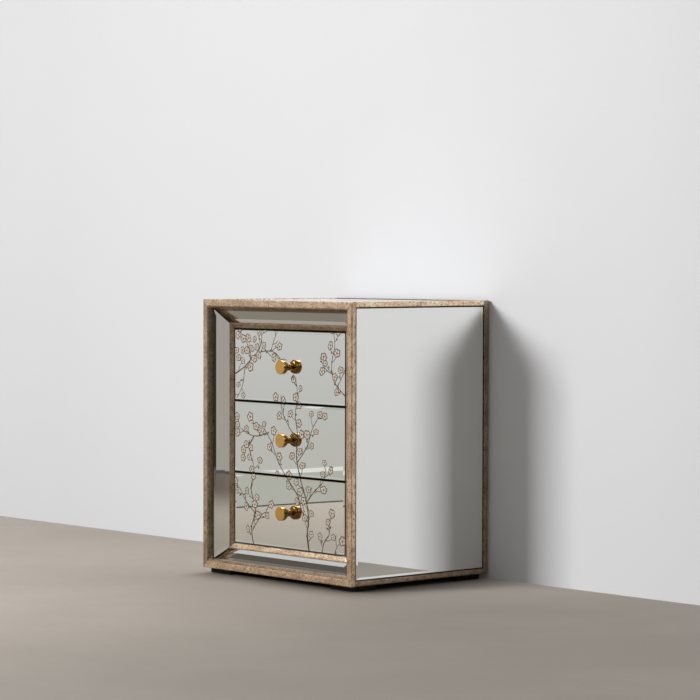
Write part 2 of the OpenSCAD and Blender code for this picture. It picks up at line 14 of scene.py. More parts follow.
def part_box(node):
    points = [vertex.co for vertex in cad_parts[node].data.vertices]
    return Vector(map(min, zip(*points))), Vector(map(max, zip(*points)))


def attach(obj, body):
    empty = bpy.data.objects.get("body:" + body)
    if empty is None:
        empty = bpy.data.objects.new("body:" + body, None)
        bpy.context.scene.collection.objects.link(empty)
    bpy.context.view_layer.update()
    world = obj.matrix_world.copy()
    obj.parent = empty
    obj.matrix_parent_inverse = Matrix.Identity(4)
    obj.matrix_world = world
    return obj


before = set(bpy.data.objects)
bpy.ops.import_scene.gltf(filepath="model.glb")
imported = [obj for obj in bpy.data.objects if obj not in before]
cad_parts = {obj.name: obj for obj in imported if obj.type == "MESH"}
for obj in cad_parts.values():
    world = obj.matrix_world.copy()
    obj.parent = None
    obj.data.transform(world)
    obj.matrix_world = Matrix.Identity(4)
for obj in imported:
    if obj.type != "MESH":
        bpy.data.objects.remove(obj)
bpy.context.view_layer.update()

# Camera, fitted to the edges of the case in the photograph
VIEW_TURN = math.radians(48.53)
VIEW_TILT = math.radians(1.919)
VIEW_ROLL = 0.0019
CAMERA_AT = Vector((4.4676, -3.9326, 0.6987))
LENS = 138.73
SENSOR = 36.0

# Room: the wall stands close behind the case. From left to right, over the given spans, the wall
# grows brighter and the floor dimmer, as painted light and shade. Mottling takes a few steps off their
# tones
WALL_Y = 0.204
WALL_HEIGHT = 6.0
ROOM_HALF = 9.0
WALL_TONE = (231, 232, 235)
WALL_SPAN, WALL_SCALE = (-1.36, 0.7), (0.81, 1.0)
WALL_MOTTLE = 4
FLOOR_TONE = (196, 186, 175)
FLOOR_SPAN, FLOOR_SCALE = (-0.08, 0.85), (1.0, 0.72)
FLOOR_MOTTLE = 9

# Deeper shade on the floor under the case and beside it: where it starts and where it is full, from
# the left, the right and the front, and how much of the tone it takes
SHADE_LEFT, SHADE_RIGHT, SHADE_FRONT = (-0.27, -0.21), (0.41, 0.20), (-0.31, -0.14)
SHADE_SHARE = 0.78

# Floor in front of the case as glossy surfaces show it: tones of its near, middle, open and far
# stretches and of the open one's duller right part, and where one turns into the next, forwards
# from the middle of the case and then, for the left and right limits, in X
FLOOR_NEAR, FLOOR_MIDDLE = (86, 72, 54), (138, 131, 119)
FLOOR_OPEN, FLOOR_RIGHT, FLOOR_FAR = (178, 169, 158), (162, 154, 143), (88, 81, 73)
NEAR_TO_MIDDLE, MIDDLE_TO_OPEN, OPEN_TO_FAR = (0.40, 0.42), (0.49, 0.55), (1.40, 2.40)
SHADED_TO_OPEN, OPEN_TO_RIGHT = (-0.42, -0.36), (-0.26, -0.20)

# Reflected walls, seen only in glossy surfaces: a slanting one on the left with a skirting board,
# its wall paler above, and one opposite the case, dark on the right. Each has a painted floor shadow
SIDE_CARD_X = -1.51
SIDE_CARD_FAR_X = -1.02
SIDE_CARD_END_Y = -0.3
FRONT_CARD_Y = -2.93
CARD_HEIGHT = 0.85
CARD_REACH = 4.5
# Painted shadow along each card's foot: its height on each card, and its level
SIDE_SHADOW_LINE, FRONT_SHADOW_LINE = 0.004, 0.010
SHADOW_LINE_LEVEL = 0.08
SIDE_FADE = (0.1, 0.5)
SIDE_LOW, SIDE_HIGH = (190, 189, 184), (199, 199, 197)
SKIRTING_HEIGHT = 0.090
SKIRTING_TOP = 0.102
# The skirting board's top edge carries a painted highlight
SKIRTING_FACE, SKIRTING_HIGHLIGHT = (180, 180, 172), (226, 229, 224)
FRONT_DARK_SPAN = (0.68, 0.76)
FRONT_WALL, FRONT_DARK = (163, 158, 152), (50, 47, 42)

# Bright window high on the right, seen only in glossy surfaces: a lower corner, width and height
WINDOW_AT = Vector((1.86, -0.98, 1.22))
WINDOW_ACROSS = Vector((-0.29, -0.53, 0))
WINDOW_HEIGHT = 0.5
WINDOW_LEVEL = 6.0

# Light: one soft key from the upper left, a surround that is stronger behind the case, and a
# softbox for highlights only
KEY_AT = Vector((-1.73, -4.58, 2.23))
KEY_AIM = Vector((0.15, 0.1, 0.35))
KEY_SIZE = (1.5, 1.2)
KEY_POWER = 234.0
SURROUND_TURN = (-0.1, 0.5)
SURROUND_LEVELS = (0.25, 0.80)
BACKDROP_LEVEL = 0.80
SPARK_AT = Vector((-0.9, -1.6, 2.3))
SPARK_SIZE = (1.5, 0.8)
SPARK_POWER = 30.0

# Upper room as glossy surfaces show it, in levels of light, with its edges as parts of the direction:
# walls that dim to the right, a ceiling, pale in front, with a beam and a dark rear, and a zenith
WALLS_TURN, WALLS_LEVELS = (-0.1, 0.5), (0.54, 0.26)
CEILING_EDGE, ZENITH_EDGE = (0.42, 0.52), (0.8, 0.95)
CEILING_FRONT, ZENITH = 0.58, 0.42
BEAM_EDGE, BEAM = (-0.340, -0.332), (0.104, 0.09, 0.077, 1)
REAR_EDGE, CEILING_REAR = (-0.248, -0.240), (0.186, 0.17, 0.152, 1)

DRAWERS = (1, 2, 3)

# Gilt mouldings: the finish, the scale of its pattern along each axis, its lightness, its pieces
UP, ACROSS, BACK = (1.0, 1.0, 0.55), (0.55, 1.0, 1.0), (1.0, 0.55, 1.0)
# A lightness below 1 is painted shade and above 1 painted light, set for each piece as it is lit
GILT = (
    ("stiles", UP, 1.0, ("front_stile_right", "inner_stile_right")),
    ("stile_painted_shade", UP, 0.74, ("front_stile_left",)),
    ("inner_stile_painted_shade", UP, 0.45, ("inner_stile_left",)),
    ("rear_stiles", UP, 0.45, ("rear_stile_left", "rear_stile_right")),
    ("rails", ACROSS, 1.0, ("front_rail_top",)),
    ("lower_rail", ACROSS, 1.09, ("front_rail_bottom",)),
    ("inner_rail_painted_light", ACROSS, 1.25, ("inner_rail_bottom",)),
    ("inner_rail_painted_shade", ACROSS, 0.56, ("inner_rail_top",)),
    ("rear_rails", ACROSS, 0.45, ("rear_rail_top", "rear_rail_bottom")),
    ("upper_corners", BACK, 1.36, ("corner_rail_top_left", "corner_rail_top_right")),
    ("lower_corners", BACK, 0.6, ("corner_rail_bottom_left", "corner_rail_bottom_right")),
)

# Painted plum branches: width of the stroke where it starts and ends, and its points, across from
# the middle of the drawers and up from the lowest mirror's bottom edge, all in millimetres
MILLIMETRE = 0.001
BRANCHES = (
    (5.0, 2.2, ((70, -6), (63, 34), (67, 70), (58, 112), (38, 158), (26, 205), (34, 240))),
    (2.2, 1.6, ((34, 240), (22, 290), (30, 330), (24, 372))),
    (3.4, 1.6, ((67, 60), (44, 86), (30, 118), (-2, 150), (-34, 186), (-60, 232), (-92, 262), (-128, 268))),
    (2.8, 1.6, ((60, 105), (88, 132), (112, 150), (124, 182))),
    (2.6, 1.5, ((30, 190), (62, 226), (78, 262), (104, 296))),
    (2.4, 1.5, ((34, 238), (4, 262), (-22, 300), (-26, 334))),
    (3.2, 1.5, ((-118, -6), (-126, 36), (-112, 78), (-128, 122), (-118, 168), (-136, 212))),
    (2.4, 1.4, ((-124, 30), (-100, 58), (-84, 72), (-66, 74))),
    (2.4, 1.4, ((-114, 70), (-148, 96), (-166, 120), (-188, 128))),
    (3.6, 1.8, ((-190, 372), (-150, 392), (-112, 420), (-74, 428), (-44, 424), (-20, 404))),
    (2.4, 1.4, ((-150, 392), (-158, 350), (-178, 322))),
    (2.6, 1.4, ((-128, 408), (-140, 440), (-166, 468))),
    (2.4, 1.4, ((-104, 424), (-92, 452), (-96, 478))),
    (2.0, 1.4, ((-60, 428), (-50, 452), (-34, 478))),
    (3.0, 1.5, ((190, 336), (168, 352), (148, 372), (142, 408), (152, 446), (146, 480))),
    (2.2, 1.4, ((146, 384), (120, 396), (104, 420))),
    (2.2, 1.4, ((160, 358), (176, 380), (186, 398))),
    (2.6, 1.4, ((110, -6), (118, 22), (136, 44), (132, 70))),
    (2.4, 1.4, ((150, -6), (160, 16), (178, 30))),
    (2.6, 1.4, ((-76, 248), (-106, 240), (-140, 244), (-176, 262))),
    (2.2, 1.4, ((-118, 241), (-134, 222), (-154, 208))),
)
STEPS_PER_SPAN = 6
STROKE_UNEVEN = (0.8, 1.2)
TWIG_EVERY = (13, 24)
TWIG_LENGTH = (13, 30)
TWIG_TURN = (32, 62)
TWIG_BEND = 0.55
TWIG_WIDTH = (1.8, 1.2)
BLOSSOM_RADIUS = (9.0, 14.0)
BLOSSOM_TILT = (0.68, 1.0)
BLOSSOM_GAP = 0.66
BUD_RADIUS = (1.8, 3.0)
BUD_SHIFT = 5
BUD_CHANCE = 0.4
CLUSTER_AT = (-138, 432)
CLUSTER_SPREAD = (44, 36)
CLUSTER_COUNT = 90
KNOB_CLEAR = 21
KNOB_CLEAR_SHARE = 0.4
ARTWORK_SEED = 11

# Blossom one unit in radius: depth of its notches, rounding of its petals, width of its dark rim,
# its heart, and the width, length and place of the vein of each petal
PETALS = 5
PETAL_RADIUS = 1.06
NOTCH = 0.66
PETAL_ROUNDING = 0.42
RIM_WIDTH = 0.17
HEART_RADIUS = 0.2
VEIN_WIDTH, VEIN_LENGTH, VEIN_AT = 0.09, 0.26, 0.4

# Paint on the glass: how high its top sheet lies, the share of that for each kind of sheet, its
# depth, how far it stands off before it is laid, the bare margin at a pane's edges, and how far
# behind the foremost point a pane still counts as flat
PAINT_LIFT = 0.00025
STROKE_LIFT, BLOSSOM_LIFT, BUD_LIFT = (0.0, 0.4), (0.45, 0.95), (0.42, 1.0)
RIM_LIFT = 0.05
PAINT_DEPTH = 0.0004
STAND_OFF = 0.002
GLASS_MARGIN = 0.0003
SAME_PLANE = 0.00003

# Rounded sight edge inside the front frame: how far back it starts, its steps inwards and
# backwards, its depth behind them, and the run and the lightness of its gilt
SIGHT_REBATE = 0.0006
SIGHT_STEPS = ((0.0015, 0.0008), (0.0020, 0.0020), (0.0020, 0.0028))
SIGHT_BACK = 0.0068
SIGHT_RUN = (0.8, 1.0, 0.8)
# Painted shade on the sight edge's gilt: deep on faces that look down or sideways, less on those that look
# up
SIGHT_PAINTED_SHADE = (("dark", 0.40), ("low", 0.62))

# Share of a bevel's slope by which silvered glass turns its reflection, for glass of index 1.52,
# how squarely glass must face outwards to be silvered, and where painted shade at its edges fades out
BEVEL_BEND = 0.52
SILVERED = (0.68, 0.74)
# Painted shade darkens the silver near the edges and mitres, widening the dark gaps between panes
RIM_SHADE = (0.00072, 0.0012)
MITRE_SHADE = (0.00098, 0.0014)

# Painted shade on the brass behind a knob's face: where it starts, where it is deepest, and by what share
BACK_SHADE_FROM, BACK_SHADE_TO, BACK_SHADE_SHARE = 0.0008, 0.004, 0.86

# A face looks along an axis if its normal has more than this share of it
SQUARE_ON = 0.7

# Specks of wear: threshold at no cover, how far full cover lowers it, and the softness of the edge
SPECK_EDGE, SPECK_SPAN, SPECK_SOFTNESS = 0.74, 0.36, 0.09

# Sockets of a Mix node by kind of value: the two that it mixes, and its result
MIX_SOCKETS = {"FLOAT": (2, 3, 0), "VECTOR": (4, 5, 1), "RGBA": (6, 7, 2)}


def tone(red, green, blue):
    """Scene colour of a screen colour given as 0 to 255."""
    def linear(level):
        share = level / 255
        return share / 12.92 if share <= 0.04045 else ((share + 0.055) / 1.055) ** 2.4
    return (linear(red), linear(green), linear(blue), 1.0)


def grey(level):
    return (level, level, level, 1.0)


def feed(tree, socket, value):
    """Links a socket to another socket, or gives it a fixed value."""
    if isinstance(value, bpy.types.NodeSocket):
        tree.links.new(value, socket)
    else:
        socket.default_value = value


def fill(tree, node, **values):
    """Feeds inputs of a node, named with _ for a space."""
    for name, value in values.items():
        feed(tree, node.inputs[name.replace("_", " ")], value)


def add(tree, kind, inputs=None, **settings):
    """Adds a shader node, sets its options and fills its inputs."""
    made = tree.nodes.new(kind)
    for option, value in settings.items():
        setattr(made, option, value)
    for name, value in (inputs or {}).items():
        feed(tree, made.inputs[name], value)
    return made


def vector_calc(tree, operation, first, second=(0, 0, 0)):
    """Result of a vector operation."""
    made = add(tree, "ShaderNodeVectorMath", {0: first, 1: second}, operation=operation)
    return made.outputs["Value" if operation in ("DOT_PRODUCT", "LENGTH") else "Vector"]


def scaled(tree, vector, scale):
    made = add(tree, "ShaderNodeVectorMath", {0: vector, "Scale": scale}, operation="SCALE")
    return made.outputs["Vector"]


def split(tree, vector):
    """The X, Y and Z of a vector."""
    return add(tree, "ShaderNodeSeparateXYZ", {0: vector}).outputs


def calc(tree, operation, first, second=0.0):
    """Result of an operation on one or two numbers."""
    return add(tree, "ShaderNodeMath", {0: first, 1: second}, operation=operation).outputs[0]


def product(tree, first, second):
    return calc(tree, "MULTIPLY", first, second)


def blend(tree, share, low, high, kind="RGBA"):
    """Colour between two colours, or the same for numbers or vectors."""
    first, second, result = MIX_SOCKETS[kind]
    made = add(tree, "ShaderNodeMix", {"Factor": share, first: low, second: high}, data_type=kind)
    return made.outputs[result]


def between(tree, value, low, high, to_low=0.0, to_high=1.0, shape="SMOOTHSTEP"):
    """Value carried from one range to another and clamped, smoothly if nothing else is said."""
    inputs = {"Value": value, "From Min": low, "From Max": high, "To Min": to_low, "To Max": to_high}
    return add(tree, "ShaderNodeMapRange", inputs, interpolation_type=shape).outputs[0]


def noise(tree, vector, scale, detail=3.0, roughness=0.55):
    inputs = {"Vector": vector, "Scale": scale, "Detail": detail, "Roughness": roughness}
    return add(tree, "ShaderNodeTexNoise", inputs).outputs["Fac"]


def stretched(tree, vector, scale):
    """Vector for a pattern that runs long where the scale is below 1."""
    return add(tree, "ShaderNodeMapping", {"Vector": vector, "Scale": scale}).outputs["Vector"]


def new_group(name, inputs, outputs):
    """Shader node group with named sockets. Returns its tree, inputs and outputs."""
    tree = bpy.data.node_groups.new(name, "ShaderNodeTree")
    for label, kind, value in inputs:
        socket = tree.interface.new_socket(label, in_out="INPUT", socket_type=kind)
        socket.default_value = value
    for label, kind in outputs:
        tree.interface.new_socket(label, in_out="OUTPUT", socket_type=kind)
    start = tree.nodes.new("NodeGroupInput")
    end = tree.nodes.new("NodeGroupOutput")
    return tree, start.outputs, end.inputs


FLOAT = "NodeSocketFloat"
COLOUR = "NodeSocketColor"
VECTOR = "NodeSocketVector"


def smudge_group():
    """Faint cloudy film of handling and dust, as a mask from 0 to 1."""
    inputs = [("Vector", VECTOR, (0, 0, 0)), ("Scale", FLOAT, 9.0), ("Cover", FLOAT, 0.5)]
    tree, given, result = new_group("Smudge", inputs, [("Mask", FLOAT)])
    broad = noise(tree, given["Vector"], given["Scale"], 2.0)
    fine = noise(tree, given["Vector"], product(tree, given["Scale"], 7.0), 4.0, 0.7)
    film = calc(tree, "ADD", product(tree, broad, 0.7), product(tree, fine, 0.3))
    edge = calc(tree, "SUBTRACT", 1.0, given["Cover"])
    high = calc(tree, "ADD", edge, 0.3)
    feed(tree, result["Mask"], between(tree, film, edge, high))
    return tree


def speck_group():
    """Small irregular specks of a worn finish, as a mask from 0 to 1."""
    inputs = [("Vector", VECTOR, (0, 0, 0)), ("Scale", FLOAT, 300.0), ("Cover", FLOAT, 0.4)]
    tree, given, result = new_group("Specks", inputs, [("Mask", FLOAT)])
    grain = noise(tree, given["Vector"], given["Scale"], 5.0, 0.65)
    edge = calc(tree, "SUBTRACT", SPECK_EDGE, product(tree, given["Cover"], SPECK_SPAN))
    high = calc(tree, "ADD", edge, SPECK_SOFTNESS)
    feed(tree, result["Mask"], between(tree, grain, edge, high))
    return tree


def grain_group():
    """Wood grain that runs along the vector's X axis."""
    inputs = [
        ("Vector", VECTOR, (0, 0, 0)), ("Light", COLOUR, grey(0.6)), ("Dark", COLOUR, grey(0.4)),
        ("Ring Scale", FLOAT, 60.0),
    ]
    outputs = [("Color", COLOUR), ("Height", FLOAT)]
    tree, given, result = new_group("Wood Grain", inputs, outputs)
    along = stretched(tree, given["Vector"], (0.07, 1.0, 1.0))
    warp = product(tree, noise(tree, along, 7.0, 2.0), 0.05)
    rings = noise(tree, vector_calc(tree, "ADD", along, warp), given["Ring Scale"], 3.0, 0.5)
    pores = noise(tree, stretched(tree, given["Vector"], (0.035, 1.0, 1.0)), 900.0, 2.0)
    lines = between(tree, rings, 0.35, 0.68)
    dots = between(tree, pores, 0.56, 0.72, 0.0, 0.5)
    share = calc(tree, "MAXIMUM", lines, dots)
    feed(tree, result["Color"], blend(tree, share, given["Light"], given["Dark"]))
    feed(tree, result["Height"], calc(tree, "SUBTRACT", 1.0, share))
    return tree


SMUDGE = smudge_group()
SPECKS = speck_group()
GRAIN = grain_group()


def place_group(tree, group, **values):
    """Places a node group with its own values and returns what it puts out."""
    made = add(tree, "ShaderNodeGroup", node_tree=group)
    fill(tree, made, **values)
    return made.outputs


def new_material(name, **fixed):
    """Material with one Principled shader. Returns material, tree, shader, coordinates."""
    material = bpy.data.materials.new(name)
    material.use_nodes = True
    tree = material.node_tree
    shader = tree.nodes["Principled BSDF"]
    fill(tree, shader, **fixed)
    where = add(tree, "ShaderNodeTexCoord").outputs["Object"]
    return material, tree, shader, where


def relief(tree, shader, height, distance, strength=1.0, softened=0.0):
    """Raised and sunk places. Edges can look rounded over the softened radius."""
    inputs = {"Height": height, "Distance": distance, "Strength": strength}
    bump = add(tree, "ShaderNodeBump", inputs)
    if softened:
        soft = add(tree, "ShaderNodeBevel", {"Radius": softened}, samples=6)
        feed(tree, bump.inputs["Normal"], soft.outputs["Normal"])
    fill(tree, shader, Normal=bump.outputs["Normal"])


def gilt(name, run, level):
    """Antique gold leaf over brown, marked along the moulding's run, with its level as painted light and
    shade.
    """
    material, tree, shader, where = new_material(name)
    along = stretched(tree, where, run)
    cloud = noise(tree, along, 46.0, 3.0, 0.6)
    patch = place_group(tree, SPECKS, Vector=along, Scale=190.0, Cover=0.6)["Mask"]
    brown = place_group(tree, SPECKS, Vector=along, Scale=390.0, Cover=0.58)["Mask"]
    dark = place_group(tree, SPECKS, Vector=along, Scale=760.0, Cover=0.36)["Mask"]
    leaf = blend(tree, between(tree, cloud, 0.32, 0.66), tone(248, 219, 188), tone(212, 181, 150))
    rubbed = blend(tree, product(tree, patch, 0.6), leaf, tone(154, 123, 94))
    patina = blend(tree, product(tree, brown, 0.74), rubbed, tone(98, 75, 54))
    specked = blend(tree, product(tree, dark, 0.85), patina, tone(44, 34, 25))
    worn = calc(tree, "MAXIMUM", product(tree, brown, 0.7), dark)
    # Painted light and shade: the level scales the colour of the whole piece
    fill(tree, shader, Base_Color=scaled(tree, specked, level))
    fill(tree, shader, Metallic=between(tree, worn, 0.0, 1.0, 0.86, 0.35))
    fill(tree, shader, Roughness=between(tree, worn, 0.0, 1.0, 0.3, 0.54))
    relief(tree, shader, worn, 0.0002, 0.6, 0.004)
    return material


def painted_rim_shade(tree, where, box):
    """Share from 0 to 1 of the painted shade in a band round a square pane's edges."""
    low, high = box
    middle, half = (low + high) / 2, (high - low) / 2
    away = vector_calc(tree, "ABSOLUTE", vector_calc(tree, "SUBTRACT", where, middle))
    parts = split(tree, vector_calc(tree, "SUBTRACT", half, away))
    thin = min(range(3), key=lambda axis: half[axis])
    first, second = [parts[axis] for axis in range(3) if axis != thin]
    return between(tree, calc(tree, "MINIMUM", first, second), *RIM_SHADE, 1.0, 0.0)


def painted_mitre_shade(tree, where):
    """Share from 0 to 1 of the painted shade along the mitres where the splayed panes meet."""
    outer_low, outer_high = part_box("splay_mirror_left")
    top_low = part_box("splay_mirror_top")[0]
    bottom_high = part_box("splay_mirror_bottom")[1]
    parts = split(tree, where)
    across = calc(tree, "ABSOLUTE", parts["X"])
    nearest = 1.0
    for outer_z, inner_z in ((outer_high.z, top_low.z), (outer_low.z, bottom_high.z)):
        along = Vector((outer_high.x - outer_low.x, inner_z - outer_z)).normalized()
        inward = calc(tree, "SUBTRACT", -outer_low.x, across)
        height = calc(tree, "SUBTRACT", parts["Z"], outer_z)
        first = product(tree, inward, along.y)
        second = product(tree, height, along.x)
        apart = calc(tree, "ABSOLUTE", calc(tree, "SUBTRACT", first, second))
        nearest = calc(tree, "MINIMUM", apart, nearest)
    return between(tree, nearest, *MITRE_SHADE, 1.0, 0.0)


def mirror_glass(name, facing, shade_box=None):
    """Silvered glass. A bevel bends what it shows towards the thick of the glass."""
    material, tree, shader, where = new_material(name)
    normal = add(tree, "ShaderNodeTexCoord").outputs["Normal"]
    face = between(tree, vector_calc(tree, "DOT_PRODUCT", normal, facing), *SILVERED)
    film = place_group(tree, SMUDGE, Vector=where, Scale=11.0, Cover=0.42)["Mask"]
    silver = blend(tree, film, tone(245, 246, 243), tone(238, 239, 235))
    edge_shade = painted_rim_shade(tree, where, shade_box) if shade_box else painted_mitre_shade(tree, where)
    # Painted shade: the silver turns dark near the pane's edges and mitres
    silver = blend(tree, edge_shade, silver, tone(36, 40, 34))
    fill(tree, shader, Base_Color=blend(tree, face, tone(38, 48, 44), silver))
    fill(tree, shader, Metallic=face)
    polish = between(tree, film, 0.0, 1.0, 0.012, 0.035)
    fill(tree, shader, Roughness=blend(tree, face, 0.35, polish, "FLOAT"))
    fall = vector_calc(tree, "SUBTRACT", facing, normal)
    bent = vector_calc(tree, "ADD", facing, scaled(tree, fall, BEVEL_BEND))
    chosen = blend(tree, face, normal, vector_calc(tree, "NORMALIZE", bent), "VECTOR")
    turned = add(
        tree, "ShaderNodeVectorTransform", {0: chosen},
        vector_type="NORMAL", convert_from="OBJECT", convert_to="WORLD",
    )
    fill(tree, shader, Normal=turned.outputs[0])
    return material


def brass(name, axis_z, face_y):
    """Polished brass with fine turning marks round the knob's axis, with painted shade behind its face."""
    material, tree, shader, where = new_material(name, Metallic=1.0)
    centred = add(tree, "ShaderNodeMapping", {"Vector": where, "Location": (0, 0, -axis_z)})
    apart = split(tree, centred.outputs["Vector"])
    flat = add(tree, "ShaderNodeCombineXYZ", {0: apart["X"], 1: apart["Z"]}).outputs[0]
    radius = vector_calc(tree, "LENGTH", flat)
    turning = add(tree, "ShaderNodeCombineXYZ", {0: radius, 1: apart["Y"]}).outputs[0]
    marks = noise(tree, turning, 2600.0, 2.0)
    film = place_group(tree, SMUDGE, Vector=where, Scale=70.0, Cover=0.5)["Mask"]
    tarnish = place_group(tree, SPECKS, Vector=where, Scale=420.0, Cover=0.1)["Mask"]
    metal = blend(tree, film, tone(232, 184, 106), tone(216, 164, 88))
    spotted = blend(tree, product(tree, tarnish, 0.5), metal, tone(120, 82, 38))
    # Painted shade: the brass behind the knob's face is darkened
    behind = between(tree, apart["Y"], face_y + BACK_SHADE_FROM, face_y + BACK_SHADE_TO, 0.0, BACK_SHADE_SHARE)
    fill(tree, shader, Base_Color=blend(tree, behind, spotted, tone(128, 94, 46)))
    polish = between(tree, film, 0.0, 1.0, 0.14, 0.24)
    fill(tree, shader, Roughness=calc(tree, "ADD", polish, product(tree, marks, 0.08)))
    relief(tree, shader, marks, 0.00001, 0.4)
    return material


def black_board(name):
    """Fibreboard under brushed black paint."""
    material, tree, shader, where = new_material(name, Specular_IOR_Level=0.4)
    grain = place_group(
        tree, GRAIN, Vector=where, Light=tone(34, 32, 31), Dark=tone(24, 22, 21), Ring_Scale=90.0
    )
    dust = place_group(tree, SMUDGE, Vector=where, Scale=14.0, Cover=0.35)["Mask"]
    fill(tree, shader, Base_Color=blend(tree, dust, grain["Color"], tone(52, 49, 46)))
    fill(tree, shader, Roughness=between(tree, dust, 0.0, 1.0, 0.42, 0.62))
    relief(tree, shader, grain["Height"], 0.0001, 0.4)
    return material


def foot_paint(name):
    """Dull black paint with scuffed, dusty patches near the floor."""
    material, tree, shader, where = new_material(name, Specular_IOR_Level=0.15)
    low = between(tree, split(tree, where)["Z"], 0.006, 0.0)
    dust = place_group(tree, SMUDGE, Vector=where, Scale=40.0, Cover=0.55)["Mask"]
    scuff = product(tree, low, dust)
    fill(tree, shader, Base_Color=blend(tree, scuff, tone(5, 5, 5), tone(26, 24, 22)))
    fill(tree, shader, Roughness=between(tree, scuff, 0.0, 1.0, 0.4, 0.7))
    relief(tree, shader, noise(tree, where, 500.0, 3.0), 0.0001, 0.3)
    return material


def plain_wood(name, light, dark, run, ring_scale=60.0):
    """Wood under thin matt lacquer. The run is the Euler turn of its grain, but faces that look to
    the front or the back have it across the case."""
    material, tree, shader, where = new_material(name)
    inputs = {"Vector": where, "Rotation": run}
    turned = add(tree, "ShaderNodeMapping", inputs).outputs["Vector"]
    front = split(tree, add(tree, "ShaderNodeTexCoord").outputs["Normal"])["Y"]
    across = calc(tree, "GREATER_THAN", calc(tree, "ABSOLUTE", front), SQUARE_ON)
    chosen = blend(tree, across, turned, where, "VECTOR")
    grain = place_group(tree, GRAIN, Vector=chosen, Light=light, Dark=dark, Ring_Scale=ring_scale)
    fill(tree, shader, Base_Color=grain["Color"])
    fill(tree, shader, Roughness=between(tree, grain["Height"], 0.0, 1.0, 0.62, 0.48))
    relief(tree, shader, grain["Height"], 0.0001, 0.35)
    return material


def zinc_steel(name, light, dark, spangle):
    """Zinc-plated steel with faint crystal patches and handling marks."""
    material, tree, shader, where = new_material(name, Metallic=1.0)
    inputs = {"Vector": where, "Scale": spangle}
    patch = add(tree, "ShaderNodeTexVoronoi", inputs, feature="F1")
    level = add(tree, "ShaderNodeSeparateColor", {0: patch.outputs["Color"]}).outputs[0]
    film = place_group(tree, SMUDGE, Vector=where, Scale=30.0, Cover=0.5)["Mask"]
    plate = blend(tree, level, light, dark)
    fill(tree, shader, Base_Color=blend(tree, product(tree, film, 0.5), plate, dark))
    fill(tree, shader, Roughness=between(tree, film, 0.0, 1.0, 0.26, 0.42))
    relief(tree, shader, noise(tree, where, 1200.0, 2.0), 0.00002, 0.3)
    return material


def enamel(name, body, shade, thin):
    """Hand-laid enamel paint, its colour uneven where the brush ran dry."""
    material, tree, shader, where = new_material(name)
    stroke = noise(tree, where, 160.0, 3.0)
    dry = place_group(tree, SPECKS, Vector=where, Scale=700.0, Cover=0.3)["Mask"]
    paint = blend(tree, between(tree, stroke, 0.35, 0.65), body, shade)
    fill(tree, shader, Base_Color=blend(tree, product(tree, dry, 0.5), paint, thin))
    fill(tree, shader, Roughness=between(tree, stroke, 0.3, 0.7, 0.38, 0.55))
    relief(tree, shader, stroke, 0.0001, 0.3)
    return material


def finish(node_names, material):
    """Gives construction pieces their finish."""
    for name in node_names:
        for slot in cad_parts[name].material_slots:
            slot.link = "OBJECT"
            slot.material = material


def each_drawer(piece):
    """Names of one kind of piece in every drawer."""
    return [f"drawer_{n}_{piece}" for n in DRAWERS]


def finish_case():
    """Gilt mouldings, feet and the boards of the case."""
    for name, run, level, pieces in GILT:
        finish(pieces, gilt(f"gilt_{name}", run, level))
    finish(["feet"], foot_paint("foot_black"))
    boards = ["side_panel_left", "side_panel_right", "top_panel", "base_panel", "back_panel"]
    finish(boards + ["splay_boards"] + each_drawer("front"), black_board("black_board"))
    light, dark = tone(208, 180, 142), tone(178, 146, 106)
    upright = plain_wood("inner_board_upright", light, dark, (0, math.radians(90), 0))
    finish(["upright_left", "upright_right"], upright)
    finish(["inner_top", "inner_bottom"], plain_wood("inner_board_deck", light, dark, (0, 0, 0)))


def main_facing(name, outward):
    """Direction in which the flat middle of a pane faces, near the given one."""
    areas = {}
    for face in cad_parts[name].data.polygons:
        if face.normal.dot(Vector(outward)) > SQUARE_ON:
            facing = tuple(round(part, 3) for part in face.normal)
            areas[facing] = areas.get(facing, 0.0) + face.area
    return Vector(max(areas, key=areas.get)).normalized()


def finish_mirrors():
    panes = [(f"splay_mirror_{side}", (0, -1, 0)) for side in ("left", "right", "top", "bottom")]
    panes += [("mirror_top", (0, 0, 1)), ("mirror_side_left", (-1, 0, 0)), ("mirror_side_right", (1, 0, 0))]
    for name, outward in panes:
        shade_box = None if name.startswith("splay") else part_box(name)
        finish([name], mirror_glass(name.replace("mirror", "silver"), main_facing(name, outward), shade_box))
    for name in each_drawer("mirror"):
        finish([name], mirror_glass(name.replace("mirror", "silver"), (0, -1, 0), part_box(name)))


def finish_drawers():
    for n in DRAWERS:
        low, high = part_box(f"drawer_{n}_knob")
        finish([f"drawer_{n}_knob"], brass(f"brass_{n}", (low.z + high.z) / 2, low.y))
    walls = plain_wood(
        "drawer_board_walls", tone(226, 202, 166), tone(204, 174, 132), (0, 0, math.radians(90)), 45.0
    )
    finish(each_drawer("walls"), walls)
    bottoms = plain_wood("drawer_board_bottom", tone(230, 208, 174), tone(210, 182, 142), (0, 0, 0), 35.0)
    finish(each_drawer("bottom"), bottoms)
    steel = zinc_steel("slide_steel", tone(206, 208, 210), tone(190, 192, 195), 140.0)
    finish(["slide_channels"] + each_drawer("slides"), steel)
    cage = zinc_steel("cage_steel", tone(226, 224, 216), tone(196, 192, 180), 400.0)
    finish(each_drawer("ball_cages"), cage)
    screws = zinc_steel("screw_steel", tone(214, 204, 172), tone(180, 166, 126), 500.0)
    finish(["case_screws"] + each_drawer("knob_screw"), screws)


def deselect():
    bpy.ops.object.select_all(action="DESELECT")


def select_only(*pieces):
    deselect()
    for piece in pieces:
        piece.select_set(True)
    bpy.context.view_layer.objects.active = pieces[0]


def new_object(name, data):
    """Adds an object made of the given data to the scene."""
    made = bpy.data.objects.new(name, data)
    bpy.context.scene.collection.objects.link(made)
    return made


